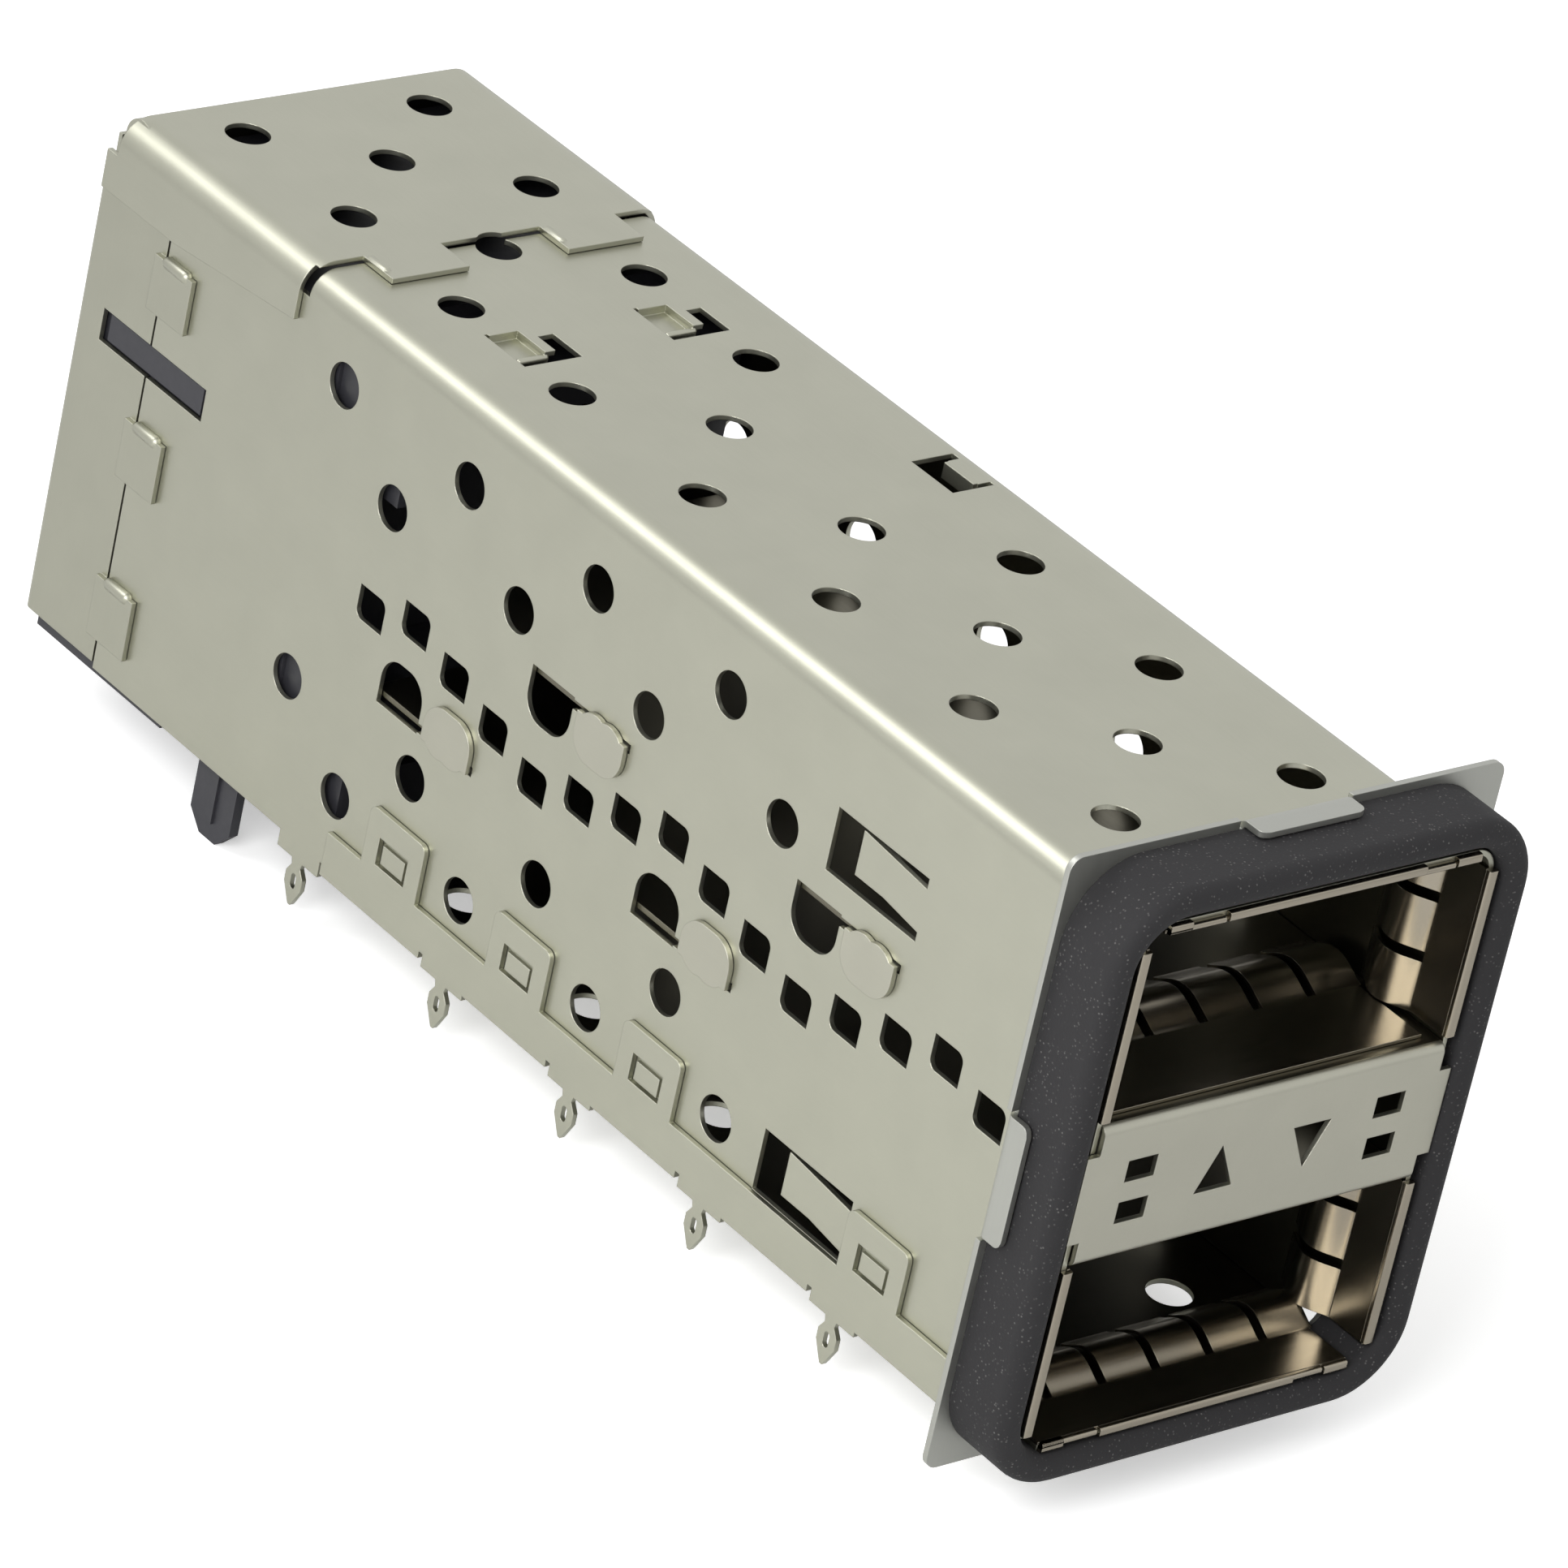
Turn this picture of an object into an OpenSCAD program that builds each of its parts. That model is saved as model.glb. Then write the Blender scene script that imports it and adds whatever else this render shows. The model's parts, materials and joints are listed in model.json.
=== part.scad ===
// Stacked two-port transceiver cage: folded sheet shell over a connector,
// with a port divider, spring finger strips, a retention plate and a gasket.
// Millimetres. +X across the ports, -Y out of the ports, +Z up.
// z = 0 is the board surface, y = 0 the front face of the retention plate.

/* [Cage shell] */
// Outside width over the two side walls
shell_width = 19.2; // [18.8:0.1:20.4]
// Height of the cage top above the board
shell_height = 25.65; // [25.4:0.05:27]
// Thickness of the folded sheet
sheet = 0.25; // [0.2:0.01:0.3]
// Outer radius of the long top folds
fold_radius = 1.2; // [0.9:0.05:1.5]
// How far the port mouths stand ahead of the retention plate
front_reach = 3.0; // [2.6:0.1:3.3]
// Seam between the shell top and the rear cover
cover_seam = 54.6; // [54:0.1:56]
// Rear end of the two side walls
wall_end = 64.5; // [64:0.1:65.5]
// Rear face of the whole cage
cage_back = 70.1; // [69.6:0.1:73]
// Lower edge of the side walls above the board
wall_foot = 0.3; // [0.28:0.01:0.45]

/* [Round holes] */
// Diameter of the round vent holes
vent_diameter = 2.1; // [1.6:0.1:2.4]
// Pitch of the vent holes along the cage
vent_pitch = 9.24; // [8.8:0.01:9.4]
// Distance of the outer top columns from the middle
top_column = 5.06; // [4.6:0.01:5.3]
// First vent of the outer top columns
top_first = 4.67; // [4.2:0.01:5]
// First vent of the rear rows on the top
rear_first = 49.74; // [49.4:0.01:50]
// Pitch of the rear rows on the top
rear_pitch = 8.12; // [7.8:0.01:8.3]
// Height of the highest row of wall vents
row_top = 21.8; // [21.6:0.05:22]
// Height of the second row of wall vents
row_second = 18.23; // [18.1:0.05:18.4]
// Height of the third row of wall vents
row_third = 7.25; // [7.1:0.05:7.4]
// Height of the lowest row of wall vents
row_low = 3.75; // [3.7:0.05:3.8]
// First vent of the staggered wall rows
wall_first = 18.7; // [18.5:0.05:19]
// First vent of the other wall rows
wall_first_far = 23.35; // [23.2:0.05:23.6]

/* [Small square windows] */
// Length of one small window
window_length = 1.9; // [1.5:0.1:2]
// Height of one small window
window_height = 1.6; // [1.3:0.1:1.7]
// Radius of its two rounded corners
window_round = 0.45; // [0.3:0.05:0.6]
// Pitch of the small windows along the wall
window_pitch = 3.09; // [3:0.01:3.15]
// Middle of the first small window
window_first = 3.24; // [3.2:0.01:3.4]
// Height of the middle of the zigzag
window_level = 13.15; // [13.1:0.01:13.2]
// Rise of one step of the zigzag
window_step = 0.88; // [0.8:0.01:0.9]

/* [Port divider] */
// Underside of the divider
divider_low = 9.6; // [9.5:0.05:9.7]
// Top side of the divider
divider_high = 16.3; // [16.2:0.05:16.4]
// Rear end of the divider plates
divider_end = 45.6; // [45.2:0.1:46]
// Fold radius at the divider face
divider_fold = 0.45; // [0.35:0.05:0.6]
// Length of one D-shaped tab
tab_length = 3.3; // [3:0.1:3.4]
// Height of one D-shaped tab
tab_height = 2.05; // [1.8:0.05:2.1]
// Corner radius of a D-shaped tab
tab_round = 1.2; // [0.9:0.1:1.4]

/* [Latch springs] */
// Rear edge of the latch windows
latch_rear = 15.65; // [15.5:0.05:15.7]
// Front end of the slits beside the leaf
latch_front = 9.65; // [9.6:0.05:9.8]
// Height of a latch window
latch_height = 3.0; // [2.8:0.05:3.05]
// Lower edge of the upper latch window
latch_upper = 17.8; // [17.75:0.05:17.85]
// Lower edge of the lower latch window
latch_lower = 2.13; // [2.13:0.01:2.2]
// How far the free end of the leaf is bent inward
latch_bend = 0.9; // [0.6:0.1:1.1]

/* [Retention plate and gasket] */
// Width of the retention plate
plate_width = 23.6; // [23.4:0.1:25]
// Lower edge of the retention plate
plate_low = -1.55; // [-1.8:0.05:-1.5]
// Upper edge of the retention plate
plate_high = 27.75; // [27.7:0.05:29]
// Thickness of the retention plate
plate_thick = 0.28; // [0.25:0.01:0.35]
// Corner radius of the retention plate
plate_round = 1.0; // [0.6:0.1:1.5]
// Width of the gasket leg
gasket_width = 1.38; // [1.2:0.02:1.38]
// Depth of the gasket from the plate to its nose
gasket_depth = 3.4; // [3.2:0.1:4]
// Margin of the plate left around the gasket
gasket_margin = 0.4; // [0.3:0.05:0.4]
// Outer corner radius of the gasket
gasket_round = 3.6; // [3:0.1:3.6]

/* [Board pins] */
// Length of the pins below their lugs
pin_tip = 2.3; // [2.1:0.05:2.4]
// Width across the eye of a pin
pin_eye = 1.2; // [1:0.05:1.3]
// Width of a lug that carries a pin
lug_width = 3.0; // [2.6:0.1:3.2]

/* [Finger strips] */
// Thickness of the spring strip
strip = 0.15; // [0.12:0.01:0.18]
// Height of the finger bow
finger_bow = 0.7; // [0.5:0.05:0.8]
// Pitch of the fingers across a port
finger_pitch = 2.98; // [2.9:0.01:3]
// Pitch of the fingers up a port side
side_pitch = 2.87; // [2.8:0.01:2.9]
// Slot between two fingers
finger_slot = 0.5; // [0.4:0.05:0.6]

/* [Connector] */
// Front of the connector body
body_front = 52.0; // [51:0.1:53]
// Front of the two card-slot noses
nose_front = 46.8; // [46.6:0.1:48]
// Contact pitch
contact_pitch = 0.8; // [0.78:0.01:0.82]
// Height of a card slot
card_slot = 1.4; // [1.3:0.05:1.6]
// Width of a card slot
card_width = 16.4; // [16:0.1:16.8]
// Length of the locating pegs below the base
peg_length = 3.35; // [3:0.05:3.4]

/* [Hidden] */
$fn = 32;
lap = 0.03;
fit = 0.05;
seam_gap = 0.15;
half = shell_width / 2;
inner = half - sheet;
outer = half + lap + sheet;
top_in = shell_height - sheet;
lip_y = -front_reach;
wall_front = lip_y + sheet + fit;
floor_under = wall_foot + fit;
floor_front_top = floor_under + sheet;
corner_cut = 1.1;
joggle_y = 2.1;
tray_end = 46.1;
vent_r = vent_diameter / 2;
rear_wall_top = shell_height - fold_radius - fit;
cover_under = shell_height + lap;
cover_top = cover_under + sheet;
flange_low = 22.26;
flap_top = 22.2;
slot_low = 15.2;
slot_high = 16.8;
slot_front = 60.1;
slot_rear = 68.1;
plate_mid = (plate_low + plate_high) / 2;
plate_open = half + fit;
gx = plate_width / 2 - gasket_margin;
gz0 = plate_low + gasket_margin;
gz1 = plate_high - gasket_margin;
leaf_in = latch_bend;
lance_shift = 8.2;
base_top = 0.9;
side_reach = 4.0;
upper_side = 20.6;
lower_side = 5.41;
contact_count = 19;

// ---------- helpers ----------
module block(x0, x1, y0, y1, z0, z1)
    translate([x0, y0, z0]) cube([x1 - x0, y1 - y0, z1 - z0]);

module rod_x(r, x0, x1, y, z)
    translate([x0, y, z]) rotate([0, 90, 0]) cylinder(r = r, h = x1 - x0);

module rod_y(r, y0, y1, x, z)
    translate([x, y0, z]) rotate([-90, 0, 0]) cylinder(r = r, h = y1 - y0);

module rod_z(r, z0, z1, x, y)
    translate([x, y, z0]) cylinder(r = r, h = z1 - z0);

module both_sides() {
    children();
    mirror([1, 0, 0]) children();
}

// Long bar with two rounded upper edges
module arch(hw, z0, z1, y0, y1, r) {
    block(-hw, hw, y0, y1, z0, z1 - r);
    block(-hw + r, hw - r, y0, y1, z1 - r, z1);
    for (s = [-1, 1]) rod_y(r, y0, y1, s * (hw - r), z1 - r);
}

// Outline in Y and Z given as points, drawn through x0..x1
module side_plate(x0, x1, pts)
    translate([x0, 0, 0]) rotate([90, 0, 90]) linear_extrude(height = x1 - x0) polygon(pts);

// ---------- openings shared by both walls ----------
module wall_vents()
    for (k = [0 : 3]) {
        rod_x(vent_r, -outer - 1, outer + 1, wall_first_far + k * vent_pitch, row_top);
        rod_x(vent_r, -outer - 1, outer + 1, wall_first + k * vent_pitch, row_second);
        rod_x(vent_r, -outer - 1, outer + 1, wall_first_far + k * vent_pitch, row_third);
        rod_x(vent_r, -outer - 1, outer + 1, wall_first + k * vent_pitch, row_low);
    }

module small_window(y, z) {
    a = window_length / 2;
    b = window_height / 2;
    r = window_round;
    w = outer + 1;
    block(-w, w, y - a + r, y + a, z - b + r, z + b);
    block(-w, w, y - a, y + a - r, z - b, z + b - r);
    rod_x(r, -w, w, y - a + r, z + b - r);
    rod_x(r, -w, w, y + a - r, z - b + r);
}

module small_windows()
    for (i = [0 : 14]) {
        step = [0, 1, 0, -1, -2, -1][i % 6];
        small_window(window_first + i * window_pitch, window_level + step * window_step);
    }

// D shape with its rounded end up, from the fold line at z = 0
module d_shape(x0, x1, y0, y1, h, r) {
    block(x0, x1, y0, y1, 0, h - r);
    block(x0, x1, y0 + r, y1 - r, h - r, h);
    rod_x(r, x0, x1, y0 + r, h - r);
    rod_x(r, x0, x1, y1 - r, h - r);
}

// Window and slot that one divider tab passes through; y is the front of its tab
module tab_window(y) {
    w = outer + 1;
    translate([0, 0, -0.2]) d_shape(-w, w, y + 3.9, y + 6.9, tab_height + 0.4, tab_round);
    block(-w, w, y - 0.1, y + 4, -0.1, sheet + 0.1);
}

module divider_windows() {
    for (y = [19.6, 38.1]) translate([0, 0, divider_low]) tab_window(y);
    for (y = [10.2, 28.7]) translate([0, 0, divider_high]) mirror([0, 0, 1]) tab_window(y);
}

module latch_window(z) {
    w = outer + 1;
    side_plate(-w, w, [[latch_rear, z], [latch_rear, z + latch_height],
        [13.9, z + latch_height], [13.9, z + 0.75], [12.0, z + 0.75], [latch_front, z + 0.45],
        [latch_front, z]]);
    side_plate(-w, w, [[14, z + latch_height], [latch_front, z + latch_height],
        [latch_front, z + latch_height - 0.5], [14, z + latch_height - 0.12]]);
}

// Spring leaf, fixed at its front end and bent inward at its free end
module latch_leaf(z) {
    y0 = latch_front - 0.2;
    intersection() {
        translate([0, 0, z + 0.1]) linear_extrude(height = latch_height - 0.2)
            polygon([[-half, y0], [-half, y0 + 0.5], [-half + 0.12 * leaf_in, 11.6],
                [-half + 0.5 * leaf_in, 13.4], [-half + leaf_in, 14.9],
                [-inner + leaf_in, 14.9], [-inner + 0.5 * leaf_in, 13.4],
                [-inner + 0.12 * leaf_in, 11.6], [-inner, y0 + 0.5], [-inner, y0]]);
        side_plate(-half - 1, -half + 3, [[y0 - 1, z + 0.4], [latch_front, z + 0.45],
            [12.0, z + 0.78], [16, z + 0.85], [16, z + latch_height - 0.25],
            [latch_front, z + latch_height - 0.5], [y0 - 1, z + latch_height - 0.5]]);
    }
}

// ---------- board pin: eye of a needle in the plane of the sheet ----------
module board_pin(x0, x1, y, lug_z, body_z) {
    e = pin_eye / 2;
    t = pin_tip;
    difference() {
        union() {
            block(x0, x1, y - lug_width / 2, y + lug_width / 2, lug_z, body_z);
            side_plate(x0, x1, [[y - 0.4, lug_z + 0.05], [y - 0.3, lug_z - 0.3],
                [y - e, lug_z - 0.75], [y - e, lug_z - 1.3], [y - 0.2, lug_z - t + 0.25],
                [y - 0.08, lug_z - t + 0.05], [y + 0.08, lug_z - t + 0.05],
                [y + 0.2, lug_z - t + 0.25], [y + e, lug_z - 1.3], [y + e, lug_z - 0.75],
                [y + 0.3, lug_z - 0.3], [y + 0.4, lug_z + 0.05]]);
        }
        block(x0 - 1, x1 + 1, y - 0.175, y + 0.175, lug_z - 1.25, lug_z - 0.85);
        rod_x(0.175, x0 - 1, x1 + 1, y, lug_z - 0.85);
        rod_x(0.175, x0 - 1, x1 + 1, y, lug_z - 1.25);
    }
}

// ---------- top openings ----------
module top_vents() {
    for (k = [0 : 4]) {
        y = top_first + k * vent_pitch;
        rod_z(vent_r, top_in - 1, cover_top + 1, -top_column, y);
        if (k != 3) rod_z(vent_r, top_in - 1, cover_top + 1, top_column, y);
    }
    for (k = [0 : 3])
        rod_z(vent_r, top_in - 1, cover_top + 1, 0, top_first + (k + 0.5) * vent_pitch);
    for (k = [0 : 2], s = [-1, 1])
        rod_z(vent_r, top_in - 1, cover_top + 1, s * top_column, rear_first + k * rear_pitch);
    for (k = [0 : 1])
        rod_z(vent_r, top_in - 1, cover_top + 1, 0, rear_first + (k + 0.5) * rear_pitch);
}

// Pressed stop: a pocket let down behind its own window
module stop_hole(x) {
    block(x, x + 3.15, 44.3, 46.45, top_in - 1, shell_height + 1);
    block(x, x + 1.85, 46.4, 47.3, top_in - 1, shell_height + 1);
}

module stop_pocket(x) {
    zf = top_in - 0.4;
    block(x + 0.2, x + 2.0, 45.15, 47.4, zf, zf + sheet);
    block(x + 1.75, x + 2.0, 45.15, 47.4, zf, shell_height);
    block(x + 1.75, x + 2.3, 45.15, 46.5, top_in, shell_height);
    block(x + 0.2, x + 2.0, 47.15, 47.4, zf, shell_height);
}

// ---------- cage shell ----------
module cage_shell() color([0.69, 0.69, 0.63]) difference() {
    union() {
        difference() {
            union() {
                arch(half, wall_foot, shell_height, wall_front, cover_seam - seam_gap, fold_radius);
                block(-half, half, cover_seam - seam_gap - 0.5, wall_end - seam_gap,
                    wall_foot, rear_wall_top);
            }
            arch(inner, wall_foot - 1, top_in, wall_front - 1, wall_end + 1, fold_radius - sheet);
            block(-outer, outer, wall_front - 1, joggle_y + fit, wall_foot - 1,
                wall_foot + corner_cut - 0.2);
            top_vents();
            wall_vents();
            small_windows();
            divider_windows();
            latch_window(latch_upper);
            latch_window(latch_lower);
            for (x = [-5.65, -5.65 + lance_shift]) stop_hole(x);
            block(6.07, 7.75, 29.3, 31.5, top_in - 1, shell_height + 1);
            block(6.07, 8.4, 29.05, 29.35, top_in - 1, shell_height + 1);
            block(6.07, 8.4, 31.45, 31.95, top_in - 1, shell_height + 1);
            block(-outer, outer, slot_front, wall_end + 1, slot_low, slot_high);
        }
        for (x = [-5.65, -5.65 + lance_shift]) stop_pocket(x);
        block(7.5, 7.75 + fit, 29.4, 31.4, top_in - 0.5, shell_height);
        both_sides() {
            latch_leaf(latch_upper);
            latch_leaf(latch_lower);
            board_pin(-half, -inner, 48.05, -0.5, wall_foot + 0.3);
            for (y = [7.5, 23.1, 32.4, 41.6])
                side_plate(-half - 0.2, -inner - 0.1,
                    [[y - 0.8, 2.65], [y + 0.8, 2.65], [y + 0.8, 3.55], [y - 0.8, 3.55]]);
        }
    }
}

// ---------- rear cover ----------
module rear_cover() color([0.69, 0.69, 0.63]) difference() {
    union() {
        difference() {
            union() {
                arch(outer, flange_low, cover_top, cover_seam, cage_back - 1.35,
                    fold_radius + lap + sheet);
                for (x = [-9.1, -2.4, 4.4]) cover_tab(x, x + 3.9);
                for (x = [-6.9, 2.8])
                    block(x, x + 4.2, cover_seam - 2.2, cover_seam + 0.5, cover_under, cover_top);
                both_sides()
                    block(-outer, -half - lap, cage_back - 1.4, cage_back - 0.6,
                        flange_low, cover_top - fold_radius - 0.6);
            }
            arch(half + lap, flange_low - 1, cover_under, cover_seam - 3, cage_back - 1.7,
                fold_radius + lap);
            block(-half - lap, half + lap, cage_back - 1.75, cage_back - 1.3, flange_low - 1,
                cover_top - 1.6);
        }
    }
    top_vents();
    side_plate(-outer - 1, outer + 1, [[cover_seam - 1, flange_low - 1], [63.8, flange_low - 1],
        [63.8, flange_low], [cover_seam + 0.3, flange_low + 0.85], [cover_seam + 0.3, cover_under],
        [cover_seam - 1, cover_under]]);
}

// One rear tab of the cover, folded down inside the back plate
module cover_tab(x0, x1) {
    r = 1.0;
    yc = cage_back - 0.7 - r;
    zc = cover_top - r;
    difference() {
        union() {
            rod_x(r, x0, x1, yc, zc);
            block(x0, x1, yc, yc + r, 20.5, zc);
        }
        rod_x(r - sheet, x0 - 1, x1 + 1, yc, zc);
        block(x0 - 1, x1 + 1, yc - r - 1, yc + r - sheet, 20, zc);
        block(x0 - 1, x1 + 1, yc - r - 1, yc, zc - r - 1, zc + r - sheet);
    }
}

// ---------- back plate ----------
module back_plate() color([0.69, 0.69, 0.63]) {
    z0 = 0.55;
    difference() {
        union() {
            block(-half, half, wall_end, cage_back - 0.6, z0, flap_top);
            block(-half + 0.6, half - 0.6, cage_back - 0.7, cage_back, z0, flap_top);
            for (s = [-1, 1]) rod_z(0.6, z0, flap_top, s * (half - 0.6), cage_back - 0.6);
        }
        block(-inner, inner, wall_end - 1, cage_back - 0.6, z0 - 1, flap_top + 1);
        block(-half + 0.6, half - 0.6, cage_back - 0.7, cage_back - sheet, z0 - 1, flap_top + 1);
        for (s = [-1, 1])
            rod_z(0.6 - sheet, z0 - 1, flap_top + 1, s * (half - 0.6), cage_back - 0.6);
        block(-outer, outer, wall_end - 1, slot_rear, slot_low, slot_high);
    }
    both_sides() {
        for (z = [[1.9, 4.9], [10.0, 12.9], [18.5, 21.2]]) {
            block(-outer, -half - lap, wall_end - 2.4, wall_end + 0.45, z[0], z[1]);
            block(-outer, -half + 0.1, wall_end, wall_end + 0.45, z[0], z[1]);
        }
        block(-half + 0.7, -half + 2.7, cage_back - sheet, cage_back, flap_top - 1, 24.5);
    }
}

// ---------- bottom plate ----------
module bottom_plate() color([0.69, 0.69, 0.63]) difference() {
    union() {
        difference() {
            block(-outer, outer, joggle_y, tray_end, 0, 2.15);
            block(-half - lap, half + lap, joggle_y - 1, tray_end + 1, sheet, 3);
        }
        block(-half + corner_cut, half - corner_cut, wall_front, joggle_y, floor_under,
            floor_front_top);
        block(-half + corner_cut, half - corner_cut, joggle_y - sheet, joggle_y + fit, 0,
            floor_front_top);
        both_sides() {
            for (y = [7.5, 23.1, 32.4, 41.6]) difference() {
                union() {
                    block(-outer, -half - lap, y - 2, y + 2, 2.1, 4.65);
                    block(-outer, -half - lap, y - 1.6, y + 1.6, 4.6, 5.05);
                    for (s = [-1, 1]) rod_x(0.4, -outer, -half - lap, y + s * 1.6, 4.65);
                }
                block(-outer - 1, -half + 1, y - 1.05, y + 1.05, 2.5, 3.85);
            }
            for (y = [9.1, 18.3, 27.55, 36.9]) board_pin(-outer, -half - lap, y, -0.25, 0.3);
        }
    }
    for (k = [0 : 4], s = [-1, 1])
        rod_z(vent_r, -1, 1, s * top_column, top_first + k * vent_pitch);
    for (k = [0 : 3]) rod_z(vent_r, -1, 1, 0, top_first + (k + 0.5) * vent_pitch);
    for (y = [9.1, 18.3, 27.55, 36.9])
        block(-outer - 1, -outer + 0.6, y + lug_width / 2, y + lug_width / 2 + 0.3, -1, 0.35);
    for (s = [-1, 1])
        block(s * 6.3 - 0.85, s * 6.3 + 0.85, lip_y + 0.6, lip_y + 1.0, 0, 1);
}

// ---------- port divider ----------
module port_divider() color([0.72, 0.70, 0.66]) {
    hw = inner - fit;
    r = divider_fold;
    difference() {
        union() {
            block(-hw, hw, lip_y + r, divider_end, divider_low, divider_high);
            block(-hw, hw, lip_y, divider_end, divider_low + r, divider_high - r);
            rod_x(r, -hw, hw, lip_y + r, divider_low + r);
            rod_x(r, -hw, hw, lip_y + r, divider_high - r);
            block(-half - 0.35, half + 0.35, lip_y, lip_y + sheet, divider_low + 1.25,
                divider_high - 1.3);
        }
        block(-hw - 0.01, hw + 0.01, lip_y + sheet, divider_end + 1, divider_low + sheet,
            divider_high - sheet);
        for (s = [-1, 1]) for (z = [11.9, 13.9])
            block(s * 6.8 - 0.8, s * 6.8 + 0.8, lip_y - 1, lip_y + 1, z - 0.52, z + 0.52);
        translate([0, lip_y + 1, 0]) rotate([90, 0, 0]) linear_extrude(height = 2)
            polygon([[-3.44, 11.86], [-1.36, 11.86], [-2.4, 14.0]]);
        translate([0, lip_y + 1, 0]) rotate([90, 0, 0]) linear_extrude(height = 2)
            polygon([[1.5, 13.95], [2.55, 11.8], [3.6, 13.95]]);
    }
    both_sides() {
        for (y = [19.6, 38.1]) translate([0, 0, divider_low]) divider_tab(y);
        for (y = [10.2, 28.7]) translate([0, 0, divider_high]) mirror([0, 0, 1]) divider_tab(y);
    }
}

// Tab that leaves the plate through the wall slot and stands against the wall
module divider_tab(y) {
    block(-outer, -inner + 0.2, y, y + tab_length, 0, sheet);
    d_shape(-outer, -half - lap, y, y + tab_length, tab_height, tab_round);
}

// ---------- retention plate ----------
module retention_plate() color([0.67, 0.67, 0.65]) {
    w = plate_width / 2;
    r = plate_round;
    t = plate_thick;
    ztop = shell_height + fit;
    difference() {
        union() {
            block(-w + r, w - r, 0, t, plate_low, plate_high);
            block(-w, w, 0, t, plate_low + r, plate_high - r);
            for (s = [-1, 1]) rod_y(r, 0, t, s * (w - r), plate_low + r);
            for (s = [-1, 1]) rod_y(r, 0, t, s * (w - r), plate_high - r);
        }
        arch(plate_open, floor_under - fit, ztop, -1, t + 1, fold_radius);
        for (s = [-1, 1]) rod_y(0.35, -1, t + 1, s * 3.05, ztop);
        for (s = [-1, 1], z = [9.9 - 0.35, 15.7 + 0.35]) rod_y(0.35, -1, t + 1, s * plate_open, z);
    }
    block(-2.7, 2.7, -1.15, t, ztop, ztop + sheet - 0.02);
    for (s = [-1, 1]) block(s * (plate_open + 0.12) - 0.12, s * (plate_open + 0.12) + 0.12, -1.15,
        t, 9.9, 15.7);
}

// ---------- gasket ----------
module gasket_profile() {
    n = gasket_width / 2;
    translate([-gasket_width, 0]) square([gasket_width, gasket_depth - n]);
    translate([-n, gasket_depth - n]) circle(r = n);
}

module gasket_leg(len)
    rotate([90, 0, 0]) linear_extrude(height = len) gasket_profile();

module gasket_corner()
    rotate_extrude(angle = 90) translate([gasket_round, 0]) gasket_profile();

module gasket() color([0.2, 0.19, 0.2])
    translate([0, -0.005, 0]) rotate([90, 0, 0]) {
        zc0 = gz0 + gasket_round;
        zc1 = gz1 - gasket_round;
        xc = gx - gasket_round;
        translate([xc, zc1, 0]) gasket_corner();
        translate([-xc, zc1, 0]) rotate([0, 0, 90]) gasket_corner();
        translate([-xc, zc0, 0]) rotate([0, 0, 180]) gasket_corner();
        translate([xc, zc0, 0]) rotate([0, 0, 270]) gasket_corner();
        translate([gx, zc1, 0]) gasket_leg(zc1 - zc0);
        translate([-xc, gz1, 0]) rotate([0, 0, 90]) gasket_leg(2 * xc);
        translate([-gx, zc0, 0]) rotate([0, 0, 180]) gasket_leg(zc1 - zc0);
        translate([xc, gz0, 0]) rotate([0, 0, 270]) gasket_leg(2 * xc);
    }

// ---------- finger strips ----------
// Flat strip on z = 0 with bowed fingers; slots are the X positions between fingers
module finger_strip(hw, y0, thin, bow0, tip, slots) {
    n = 8;
    span = tip - bow0;
    up = [for (i = [0 : n]) [bow0 + span * i / n,
        lap + strip + finger_bow * pow(sin(180 * i / n), 1.3)]];
    down = [for (i = [n : -1 : 0]) [bow0 + span * i / n,
        lap + finger_bow * pow(sin(180 * i / n), 1.3)]];
    difference() {
        side_plate(-hw, hw, concat([[y0, lap], [y0, lap + strip]], up, down));
        for (x = slots) {
            block(x - finger_slot / 2, x + finger_slot / 2, bow0, tip + 1, -1, 3);
            block(x - 0.12, x + 0.12, thin, bow0 + 0.1, -1, 3);
        }
    }
}

// Front lip of a strip, folded over the edge of the sheet behind it
module strip_lip(x0, x1, low)
    block(x0, x1, lip_y, wall_front - fit / 2, low, lap + strip);

module across_slots_strip(y0, thin, bow0, tip)
    finger_strip(half - 1.25, y0, thin, bow0, tip, [for (k = [-2 : 2]) k * finger_pitch]);

module mouth_strip() {
    across_slots_strip(wall_front - fit, -0.3, -0.3, 2.7);
    strip_lip(-5.3, 5.4, -sheet);
    strip_lip(-half + 1.1, -5.45, -0.1);
    strip_lip(-half + 1.1, -7.3, -sheet);
    strip_lip(5.3, 7.0, -0.1);
    strip_lip(7.15, half - 1.1, -sheet);
}

module side_strip(hh) {
    finger_strip(hh, wall_front - fit, -0.65, -0.65, 2.4, [-side_pitch / 2, side_pitch / 2]);
    strip_lip(-hh, hh, -sheet - 0.1);
}

module upper_top_fingers() color([0.72, 0.70, 0.66])
    translate([0, 0, top_in]) mirror([0, 0, 1]) mouth_strip();

module lower_bottom_fingers() color([0.72, 0.70, 0.66])
    translate([0, 0, floor_front_top]) mouth_strip();

module upper_bottom_fingers() color([0.72, 0.70, 0.66])
    translate([0, 0, divider_high]) across_slots_strip(lip_y + 0.8, 0, 1.9, 5.45);

module lower_top_fingers() color([0.72, 0.70, 0.66])
    translate([0, 0, divider_low]) mirror([0, 0, 1])
        across_slots_strip(lip_y + 0.8, 0, 1.9, 5.45);

module upper_left_fingers() color([0.72, 0.70, 0.66])
    translate([-inner, 0, upper_side]) rotate([0, 90, 0]) side_strip(side_reach);

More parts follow.
